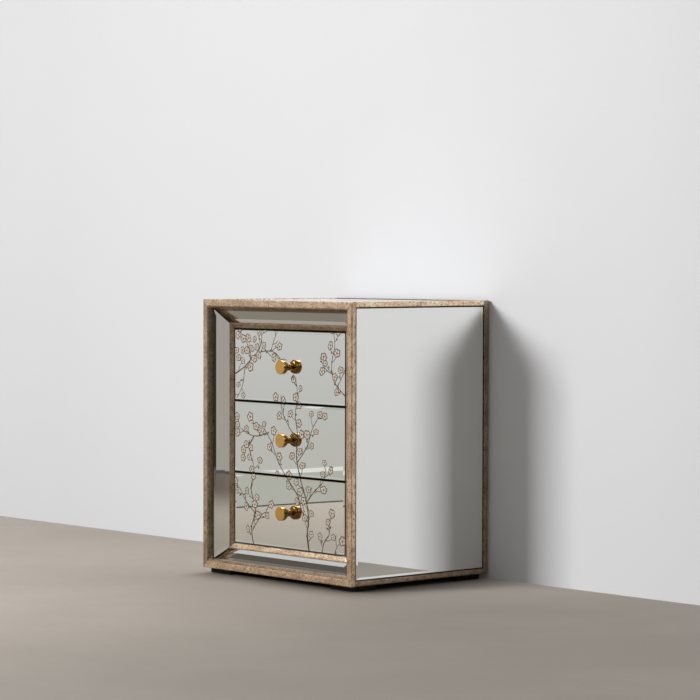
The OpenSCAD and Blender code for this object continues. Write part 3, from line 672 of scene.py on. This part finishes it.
def own_copy(piece):
    """Copy of a piece, with its own mesh."""
    made = piece.copy()
    made.data = piece.data.copy()
    bpy.context.scene.collection.objects.link(made)
    return made


def join(pieces, name):
    """Joins pieces into the first of them, under a new name."""
    select_only(*pieces)
    bpy.ops.object.join()
    pieces[0].name = name
    return pieces[0]


def mode(name):
    bpy.ops.object.mode_set(mode=name)


def pick(piece, kind, wanted):
    """In edit mode, selects the vertices or faces that the test accepts and nothing else."""
    bpy.ops.mesh.select_mode(type="VERT" if kind == "verts" else "FACE")
    bpy.ops.mesh.select_all(action="DESELECT")
    mesh = bmesh.from_edit_mesh(piece.data)
    for part in getattr(mesh, kind):
        if wanted(part):
            part.select_set(True)
    bmesh.update_edit_mesh(piece.data)


def resize(*value):
    """In edit mode, scales what is selected from the origin."""
    bpy.ops.transform.resize(value=value, center_override=(0, 0, 0))


def apply_modifier(piece, kind, **settings):
    select_only(piece)
    made = piece.modifiers.new(kind.lower(), kind)
    for option, value in settings.items():
        setattr(made, option, value)
    bpy.ops.object.modifier_apply(modifier=made.name)


def sight_edge():
    """Rounded gilt edge that leads from the front frame back to the splayed mirrors."""
    left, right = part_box("front_stile_left")[1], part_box("front_stile_right")[0]
    bottom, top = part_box("front_rail_bottom")[1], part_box("front_rail_top")[0]
    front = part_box("front_stile_left")[0].y + SIGHT_REBATE
    deselect()
    bpy.ops.mesh.primitive_plane_add(size=1, rotation=(math.radians(90), 0, 0))
    edge = bpy.context.object
    edge.name = "front_sight_edge"
    bpy.ops.object.transform_apply(location=False, rotation=True, scale=True)
    mode("EDIT")
    bpy.ops.mesh.select_all(action="SELECT")
    resize(right.x - left.x, 1, top.z - bottom.z)
    bpy.ops.transform.translate(value=((left.x + right.x) / 2, front, (bottom.z + top.z) / 2))
    for inward, backward in SIGHT_STEPS:
        bpy.ops.mesh.inset(thickness=inward, depth=0)
        bpy.ops.transform.translate(value=(0, backward, 0))
    bpy.ops.mesh.delete(type="FACE")
    bpy.ops.mesh.select_all(action="SELECT")
    bpy.ops.mesh.extrude_region_move(TRANSFORM_OT_translate={"value": (0, SIGHT_BACK, 0)})
    bpy.ops.mesh.select_all(action="SELECT")
    bpy.ops.mesh.normals_make_consistent(inside=False)
    mode("OBJECT")
    # Painted shade: the darker gilt on faces that look down or sideways, the lighter on those that look up
    for part, level in SIGHT_PAINTED_SHADE:
        edge.data.materials.append(gilt(f"gilt_sight_edge_{part}", SIGHT_RUN, level))
    mode("EDIT")
    pick(edge, "faces", lambda face: face.normal.z > 0.2)
    edge.active_material_index = 1
    bpy.ops.object.material_slot_assign()
    mode("OBJECT")
    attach(edge, "case")


def smooth_path(points):
    """Points of a smooth curve through the given ones."""
    ends = [Vector(point) for point in (points[0], *points, points[-1])]
    path = []
    for before, start, end, after in zip(ends, ends[1:], ends[2:], ends[3:]):
        for step in range(STEPS_PER_SPAN):
            t = step / STEPS_PER_SPAN
            bend = (2 * before - 5 * start + 4 * end - after) * t ** 2
            turn = (3 * start - before - 3 * end + after) * t ** 3
            path.append(start + ((end - before) * t + bend + turn) / 2)
    return path + [ends[-1]]


def plan_twigs(path, chance, twigs):
    """Side twigs of one branch, by turns to its left and right."""
    side = chance.choice((-1, 1))
    left = chance.uniform(*TWIG_EVERY)
    for start, end in zip(path, path[1:]):
        left -= (end - start).length
        if left > 0:
            continue
        left = chance.uniform(*TWIG_EVERY)
        side = -side
        turn = side * math.radians(chance.uniform(*TWIG_TURN))
        reach = chance.uniform(*TWIG_LENGTH)
        along = (end - start).normalized()
        first = along.copy()
        first.rotate(Matrix.Rotation(turn, 2))
        last = along.copy()
        last.rotate(Matrix.Rotation(turn * TWIG_BEND, 2))
        middle = end + first * reach * 0.5
        twigs.append(smooth_path((end, middle, middle + last * reach * 0.5)))


def clear_of_knobs(point, radius):
    """Says if a blossom leaves the knobs free."""
    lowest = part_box("drawer_3_mirror")[0].z
    for n in DRAWERS:
        low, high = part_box(f"drawer_{n}_knob")
        height = ((low.z + high.z) / 2 - lowest) / MILLIMETRE
        if (point - Vector((0, height))).length < KNOB_CLEAR + radius * KNOB_CLEAR_SHARE:
            return False
    return True


def plan_artwork():
    """Strokes, blossoms and buds of the whole front, the same at every run."""
    chance = random.Random(ARTWORK_SEED)
    strokes = [(smooth_path(points), start, end) for start, end, points in BRANCHES]
    twigs = []
    for path, start, end in strokes:
        plan_twigs(path, chance, twigs)
    strokes += [(twig, *TWIG_WIDTH) for twig in twigs]
    sites = [twig[-1] for twig in twigs] + [path[-1] for path, start, end in strokes[:len(BRANCHES)]]
    for spot in range(CLUSTER_COUNT):
        away, turn = math.sqrt(chance.random()), chance.uniform(0, math.tau)
        sites.append(Vector(CLUSTER_AT) + Vector((
            CLUSTER_SPREAD[0] * away * math.cos(turn), CLUSTER_SPREAD[1] * away * math.sin(turn),
        )))
    blossoms = []
    for site in sites:
        radius = chance.uniform(*BLOSSOM_RADIUS)
        apart = all((site - at).length > (radius + size) * BLOSSOM_GAP for at, size in blossoms)
        if apart and clear_of_knobs(site, radius):
            blossoms.append((site, radius))
    buds = []
    for path, start, end in strokes:
        for point in path[2::4]:
            site = point + Vector((chance.uniform(-1, 1), chance.uniform(-1, 1))) * BUD_SHIFT
            if chance.random() < BUD_CHANCE and all((site - at).length > size for at, size in blossoms):
                buds.append((site, chance.uniform(*BUD_RADIUS)))
    return strokes, blossoms, buds, chance


def brush_line():
    """Straight section, one unit to each side, that gives a stroke its width."""
    data = bpy.data.curves.new("brush_line", "CURVE")
    data.dimensions = "3D"
    line = data.splines.new("POLY")
    line.points.add(1)
    line.points[0].co = (-1, 0, 0, 1)
    line.points[1].co = (1, 0, 0, 1)
    return new_object("brush_line", data)


def set_lift(sheet, share):
    """Says how high a sheet of paint lies among the others, from 0 to 1."""
    group = sheet.vertex_groups.new(name="lift")
    group.add(list(range(len(sheet.data.vertices))), share, "REPLACE")


def brush_stroke(brush, path, start, end, chance):
    """Flat stroke along a path, from one width to another, uneven as a brush leaves it."""
    data = bpy.data.curves.new("brush_stroke", "CURVE")
    data.dimensions = "3D"
    data.twist_mode = "Z_UP"
    data.bevel_mode = "OBJECT"
    data.bevel_object = brush
    line = data.splines.new("POLY")
    line.points.add(len(path) - 1)
    for place, (point, spot) in enumerate(zip(line.points, path)):
        width = start + (end - start) * place / (len(path) - 1)
        point.co = (spot.x, spot.y, 0, 1)
        point.radius = width / 2 * chance.uniform(*STROKE_UNEVEN)
    return new_object("brush_stroke", data)


def blossom_stencil():
    """Five-petalled flower one unit in radius: its outline with the heart, and its petals."""
    deselect()
    bpy.ops.mesh.primitive_circle_add(vertices=2 * PETALS, radius=PETAL_RADIUS, fill_type="NGON")
    outline = bpy.context.object
    mode("EDIT")
    pick(outline, "verts", lambda vert: vert.index % 2 == 0)
    resize(NOTCH, NOTCH, 1)
    pick(outline, "verts", lambda vert: vert.index % 2 == 1)
    bpy.ops.mesh.bevel(affect="VERTICES", offset=PETAL_ROUNDING, segments=3)
    pick(outline, "faces", lambda face: True)
    bpy.ops.mesh.inset(thickness=RIM_WIDTH, depth=0)
    bpy.ops.mesh.separate(type="SELECTED")
    bpy.ops.mesh.primitive_circle_add(vertices=7, radius=HEART_RADIUS, fill_type="NGON")
    for petal in range(PETALS):
        turn = math.tau * petal / PETALS
        bpy.ops.mesh.primitive_plane_add(size=1)
        resize(VEIN_WIDTH, VEIN_LENGTH, 1)
        bpy.ops.transform.translate(value=(0, VEIN_AT, 0))
        bpy.ops.transform.rotate(value=turn, orient_axis="Z", center_override=(0, 0, 0))
    mode("OBJECT")
    petals = [piece for piece in bpy.context.selected_objects if piece is not outline][0]
    return outline, petals


def bud_stencil():
    """Pointed drop one unit long, for buds."""
    deselect()
    bpy.ops.mesh.primitive_circle_add(vertices=8, radius=1.0, fill_type="NGON")
    bud = bpy.context.object
    mode("EDIT")
    pick(bud, "verts", lambda vert: vert.co.y > 0.9)
    bpy.ops.transform.translate(value=(0, 0.5, 0))
    pick(bud, "verts", lambda vert: True)
    resize(0.72, 1, 1)
    mode("OBJECT")
    return bud


def stamp(stencil, place, lift):
    """Copy of a stencil at a place and height of its own."""
    copy = own_copy(stencil)
    copy.data.transform(place)
    set_lift(copy, lift)
    return copy


def flat_artwork():
    """The whole painting on one flat sheet, in millimetres: its lines, and its petals."""
    strokes, blossoms, buds, chance = plan_artwork()
    brush = brush_line()
    lines = [brush_stroke(brush, path, start, end, chance) for path, start, end in strokes]
    select_only(*lines)
    bpy.ops.object.convert(target="MESH")
    for line in lines:
        set_lift(line, chance.uniform(*STROKE_LIFT))
    outline, petals = blossom_stencil()
    bud = bud_stencil()
    fills = []
    for at, radius in blossoms:
        turn = Matrix.Rotation(chance.uniform(0, math.tau), 4, "Z")
        tilt = Matrix.Rotation(chance.uniform(0, math.tau), 4, "Z")
        narrow = Matrix.Diagonal((radius, radius * chance.uniform(*BLOSSOM_TILT), 1, 1))
        place = Matrix.Translation((at.x, at.y, 0)) @ tilt @ narrow @ turn
        lift = chance.uniform(*BLOSSOM_LIFT)
        lines.append(stamp(outline, place, lift + RIM_LIFT))
        fills.append(stamp(petals, place, lift))
    for at, radius in buds:
        turn = Matrix.Rotation(chance.uniform(0, math.tau), 4, "Z")
        place = Matrix.Translation((at.x, at.y, 0)) @ turn @ Matrix.Scale(radius, 4)
        lines.append(stamp(bud, place, chance.uniform(*BUD_LIFT)))
    for done in (brush, outline, petals, bud):
        bpy.data.objects.remove(done)
    return join(lines, "flat_branches"), join(fills, "flat_petals")


def flat_middle(name):
    """Lowest and highest corner of a drawer mirror's flat middle, inside its bevels."""
    spots = [vert.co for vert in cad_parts[name].data.vertices]
    nearest = min(spot.y for spot in spots)
    middle = [spot for spot in spots if spot.y < nearest + SAME_PLANE]
    low = Vector((min(spot.x for spot in middle), nearest, min(spot.z for spot in middle)))
    return low, Vector((max(spot.x for spot in middle), nearest, max(spot.z for spot in middle)))


def lay_on_glass(sheet, n):
    """Cuts a standing sheet to a drawer's mirror, folds it over the bevels and gives it body."""
    pane = f"drawer_{n}_mirror"
    low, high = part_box(pane)
    folds = flat_middle(pane)
    select_only(sheet)
    mode("EDIT")
    for axis in (Vector((1, 0, 0)), Vector((0, 0, 1))):
        inside = axis * GLASS_MARGIN
        for spot, side in ((low + inside, "clear_inner"), (high - inside, "clear_outer")):
            bpy.ops.mesh.select_all(action="SELECT")
            bpy.ops.mesh.bisect(plane_co=spot, plane_no=axis, **{side: True})
        for fold in folds:
            bpy.ops.mesh.select_all(action="SELECT")
            bpy.ops.mesh.bisect(plane_co=fold, plane_no=axis)
    mode("OBJECT")
    apply_modifier(
        sheet, "SHRINKWRAP", wrap_method="PROJECT", use_project_y=True,
        use_positive_direction=True, target=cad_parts[pane],
    )
    apply_modifier(sheet, "DISPLACE", direction="Y", strength=-PAINT_LIFT, mid_level=0, vertex_group="lift")
    apply_modifier(sheet, "SOLIDIFY", thickness=PAINT_DEPTH, offset=-1)


def painted_branches():
    """Blossom branches painted across the drawer mirrors, each drawer with its own part."""
    sheets = flat_artwork()
    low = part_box("drawer_3_mirror")[0]
    stand = Matrix.Translation((0, low.y - STAND_OFF, low.z))
    stand = stand @ Matrix.Rotation(math.radians(90), 4, "X") @ Matrix.Scale(MILLIMETRE, 4)
    line_paint = enamel("branch_paint", tone(101, 81, 61), tone(64, 49, 34), tone(138, 116, 92))
    petal_paint = enamel("petal_paint", tone(195, 188, 176), tone(184, 174, 160), tone(204, 200, 191))
    for sheet, part, paint in zip(sheets, ("branches", "petals"), (line_paint, petal_paint)):
        sheet.data.transform(stand)
        select_only(sheet)
        mode("EDIT")
        pick(sheet, "faces", lambda face: face.normal.y > 0)
        bpy.ops.mesh.flip_normals()
        mode("OBJECT")
        for n in DRAWERS:
            piece = own_copy(sheet)
            piece.name = f"drawer_{n}_painted_{part}"
            lay_on_glass(piece, n)
            piece.data.materials.clear()
            piece.data.materials.append(paint)
            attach(piece, f"drawer_{n}")
        bpy.data.objects.remove(sheet)


def floor_shade(tree, apart):
    """Scale of the floor's tone, lower under the case and in the dim corner on its right."""
    left = between(tree, apart["X"], *SHADE_LEFT)
    right = between(tree, apart["X"], *SHADE_RIGHT)
    front = between(tree, apart["Y"], *SHADE_FRONT)
    deep = product(tree, product(tree, left, right), front)
    return calc(tree, "SUBTRACT", 1.0, product(tree, deep, SHADE_SHARE))


def mottled(tree, share, base, steps):
    """Colour that varies from a screen colour to one a few steps darker."""
    return blend(tree, share, tone(*base), tone(*(level - steps for level in base)))


def floor_seen(tree, where, apart):
    """Colour of the mottled floor, with painted shade to the right and under the case."""
    broad = between(tree, noise(tree, where, 1.1, 4.0, 0.6), 0.35, 0.65)
    fine = product(tree, noise(tree, where, 60.0, 4.0, 0.7), 0.12)
    worn = blend(tree, fine, mottled(tree, broad, FLOOR_TONE, FLOOR_MOTTLE), grey(0.2))
    # Painted shade: the floor dims to the right
    dimmed = between(tree, apart["X"], *FLOOR_SPAN, *FLOOR_SCALE)
    return scaled(tree, worn, product(tree, dimmed, floor_shade(tree, apart)))


def floor_reflected(tree, apart):
    """Colour of the floor in front of the case as glossy surfaces show it, a painted reflection."""
    forward = product(tree, apart["Y"], -1.0)
    near = between(tree, forward, *NEAR_TO_MIDDLE)
    shaded = blend(tree, near, tone(*FLOOR_NEAR), tone(*FLOOR_MIDDLE))
    aside = between(tree, apart["X"], *SHADED_TO_OPEN)
    opening = calc(tree, "MAXIMUM", aside, between(tree, forward, *MIDDLE_TO_OPEN))
    right = between(tree, apart["X"], *OPEN_TO_RIGHT)
    lit = blend(tree, opening, shaded, blend(tree, right, tone(*FLOOR_OPEN), tone(*FLOOR_RIGHT)))
    return blend(tree, between(tree, forward, *OPEN_TO_FAR), lit, tone(*FLOOR_FAR))


def flat_square(name, size):
    deselect()
    bpy.ops.mesh.primitive_plane_add(size=size, location=(0, 0, 0))
    bpy.context.object.name = name
    return bpy.context.object


def room_floor():
    floor = flat_square("studio_floor", 2 * ROOM_HALF)
    fixed = {"Roughness": 0.72, "Specular_IOR_Level": 0.25}
    material, tree, shader, where = new_material("studio_floor_screed", **fixed)
    apart = split(tree, where)
    # Glossy surfaces see a painted reflection of the floor in front of the case
    glossy = add(tree, "ShaderNodeLightPath").outputs["Is Glossy Ray"]
    shown = product(tree, glossy, calc(tree, "LESS_THAN", apart["Y"], 0.0))
    colour = blend(tree, shown, floor_seen(tree, where, apart), floor_reflected(tree, apart))
    fill(tree, shader, Base_Color=colour)
    floor.data.materials.append(material)


def upright_card(name, corner, across, height, material):
    """Upright rectangle from its lower corner. Seen from its front, 'across' runs to the right."""
    card = flat_square(name, 1)
    facing = across.normalized().cross(Vector((0, 0, 1)))
    axes = Matrix((across.normalized(), Vector((0, 0, 1)), facing)).transposed().to_4x4()
    middle = corner + across / 2 + Vector((0, 0, height / 2))
    size = Matrix.Diagonal((across.length, height, 1, 1))
    card.data.transform(Matrix.Translation(middle) @ axes @ size)
    card.data.materials.append(material)
    card.visible_shadow = False
    card.visible_diffuse = False


def one_sided(tree, surface, share=1.0):
    """Shows a surface from its front only, and only as far as share says."""
    back = add(tree, "ShaderNodeNewGeometry").outputs["Backfacing"]
    shown = product(tree, calc(tree, "SUBTRACT", 1.0, back), share)
    clear = add(tree, "ShaderNodeBsdfTransparent").outputs[0]
    mix = add(tree, "ShaderNodeMixShader", {0: shown, 1: clear, 2: surface})
    feed(tree, tree.nodes["Material Output"].inputs["Surface"], mix.outputs[0])


def room_wall():
    fixed = {"Roughness": 0.9, "Specular_IOR_Level": 0.1}
    material, tree, shader, where = new_material("studio_wall_paint", **fixed)
    paint = mottled(tree, noise(tree, where, 2.0, 3.0), WALL_TONE, WALL_MOTTLE)
    # Painted light and shade: the wall is darker to the left and brighter to the right
    dimmed = between(tree, split(tree, where)["X"], *WALL_SPAN, *WALL_SCALE, "LINEAR")
    fill(tree, shader, Base_Color=scaled(tree, paint, dimmed))
    one_sided(tree, shader.outputs[0])
    corner = Vector((-ROOM_HALF, WALL_Y, 0))
    upright_card("studio_wall", corner, Vector((2 * ROOM_HALF, 0, 0)), WALL_HEIGHT, material)


def glow_card(name, corner, across, dark_foot, paint):
    """Upright card that only glossy surfaces show, in the colour that paint makes: a painted reflection."""
    material, tree, shader, where = new_material(name)
    tree.nodes.remove(shader)
    apart = split(tree, where)
    # Painted shadow line along the card's foot
    shadow_line = calc(tree, "LESS_THAN", apart["Z"], dark_foot)
    colour = blend(tree, shadow_line, paint(tree, apart), grey(SHADOW_LINE_LEVEL))
    glow = add(tree, "ShaderNodeEmission", {"Color": colour})
    glossy = add(tree, "ShaderNodeLightPath").outputs["Is Glossy Ray"]
    one_sided(tree, glow.outputs[0], glossy)
    upright_card(name, corner, across, CARD_HEIGHT, material)


def side_paint(tree, apart):
    """Pale wall over a skirting board, with a painted highlight on the board's top edge."""
    wall = blend(tree, between(tree, apart["Z"], *SIDE_FADE), tone(*SIDE_LOW), tone(*SIDE_HIGH))
    edge = calc(tree, "LESS_THAN", apart["Z"], SKIRTING_TOP)
    board = calc(tree, "LESS_THAN", apart["Z"], SKIRTING_HEIGHT)
    return blend(tree, board, blend(tree, edge, wall, tone(*SKIRTING_HIGHLIGHT)), tone(*SKIRTING_FACE))


def front_paint(tree, apart):
    """Wall that turns dark to the right."""
    return blend(tree, between(tree, apart["X"], *FRONT_DARK_SPAN), tone(*FRONT_WALL), tone(*FRONT_DARK))


def room_reflections():
    side = Vector((SIDE_CARD_FAR_X, -CARD_REACH, 0))
    across = Vector((SIDE_CARD_X - SIDE_CARD_FAR_X, SIDE_CARD_END_Y + CARD_REACH, 0))
    glow_card("reflected_side", side, across, SIDE_SHADOW_LINE, side_paint)
    front = Vector((CARD_REACH, FRONT_CARD_Y, 0))
    across = Vector((SIDE_CARD_X - CARD_REACH, 0, 0))
    glow_card("reflected_front", front, across, FRONT_SHADOW_LINE, front_paint)


def reflected_window():
    """Glints on the gilt and the brass. Matt surfaces get no light from it, nor by way of a mirror."""
    material, tree, shader = new_material("reflected_window")[:3]
    tree.nodes.remove(shader)
    glow = add(tree, "ShaderNodeEmission", {"Color": grey(1.0), "Strength": WINDOW_LEVEL})
    path = add(tree, "ShaderNodeLightPath").outputs
    unscattered = calc(tree, "LESS_THAN", path["Diffuse Depth"], 0.5)
    one_sided(tree, glow.outputs[0], product(tree, path["Is Glossy Ray"], unscattered))
    upright_card("reflected_window", WINDOW_AT, WINDOW_ACROSS, WINDOW_HEIGHT, material)


def surround():
    """Light all round, most from behind, a pale backdrop for the camera, a room for reflections."""
    world = bpy.data.worlds.new("studio_surround")
    bpy.context.scene.world = world
    world.use_nodes = True
    tree = world.node_tree
    tree.nodes.clear()
    toward = split(tree, add(tree, "ShaderNodeTexCoord").outputs["Generated"])
    path = add(tree, "ShaderNodeLightPath").outputs
    soft = between(tree, toward["Y"], *SURROUND_TURN, *SURROUND_LEVELS)
    beam = blend(tree, between(tree, toward["Y"], *BEAM_EDGE), grey(CEILING_FRONT), BEAM)
    ceiling = blend(tree, between(tree, toward["Y"], *REAR_EDGE), beam, CEILING_REAR)
    above = blend(tree, between(tree, toward["Z"], *ZENITH_EDGE), ceiling, grey(ZENITH))
    around = between(tree, toward["X"], *WALLS_TURN, *WALLS_LEVELS)
    room = blend(tree, between(tree, toward["Z"], *CEILING_EDGE), around, above)
    seen = blend(tree, path["Is Glossy Ray"], soft, room)
    shown = calc(tree, "MAXIMUM", path["Is Camera Ray"], path["Is Transmission Ray"])
    colour = blend(tree, shown, seen, grey(BACKDROP_LEVEL))
    sky = add(tree, "ShaderNodeBackground", {"Color": colour, "Strength": 1.0})
    out = add(tree, "ShaderNodeOutputWorld")
    feed(tree, out.inputs["Surface"], sky.outputs[0])


def soft_light(name, at, aim, size, power):
    data = bpy.data.lights.new(name, "AREA")
    data.shape = "RECTANGLE"
    data.size, data.size_y = size
    data.energy = power
    light = new_object(name, data)
    light.location = at
    light.rotation_euler = (aim - at).to_track_quat("-Z", "Y").to_euler()
    return light


def lights():
    key = soft_light("key_softbox", KEY_AT, KEY_AIM, KEY_SIZE, KEY_POWER)
    key.visible_glossy = False
    key.visible_camera = False
    spark = soft_light("highlight_softbox", SPARK_AT, KEY_AIM, SPARK_SIZE, SPARK_POWER)
    spark.visible_diffuse = False
    spark.visible_camera = False


def camera():
    forward = Vector((
        -math.sin(VIEW_TURN) * math.cos(VIEW_TILT),
        math.cos(VIEW_TURN) * math.cos(VIEW_TILT),
        -math.sin(VIEW_TILT),
    ))
    right = forward.cross(Vector((0, 0, 1))).normalized()
    up = right.cross(forward)
    across = right * math.cos(VIEW_ROLL) + up * math.sin(VIEW_ROLL)
    upward = up * math.cos(VIEW_ROLL) - right * math.sin(VIEW_ROLL)
    data = bpy.data.cameras.new("photo_camera")
    data.lens = LENS
    data.sensor_width = SENSOR
    seen = new_object("photo_camera", data)
    turn = Matrix((across, upward, -forward)).transposed().to_4x4()
    seen.matrix_world = Matrix.Translation(CAMERA_AT) @ turn
    bpy.context.scene.camera = seen


camera()
finish_case()
finish_mirrors()
finish_drawers()
sight_edge()
painted_branches()
room_floor()
room_wall()
room_reflections()
reflected_window()
surround()
lights()
bpy.context.scene.view_settings.view_transform = "Standard"
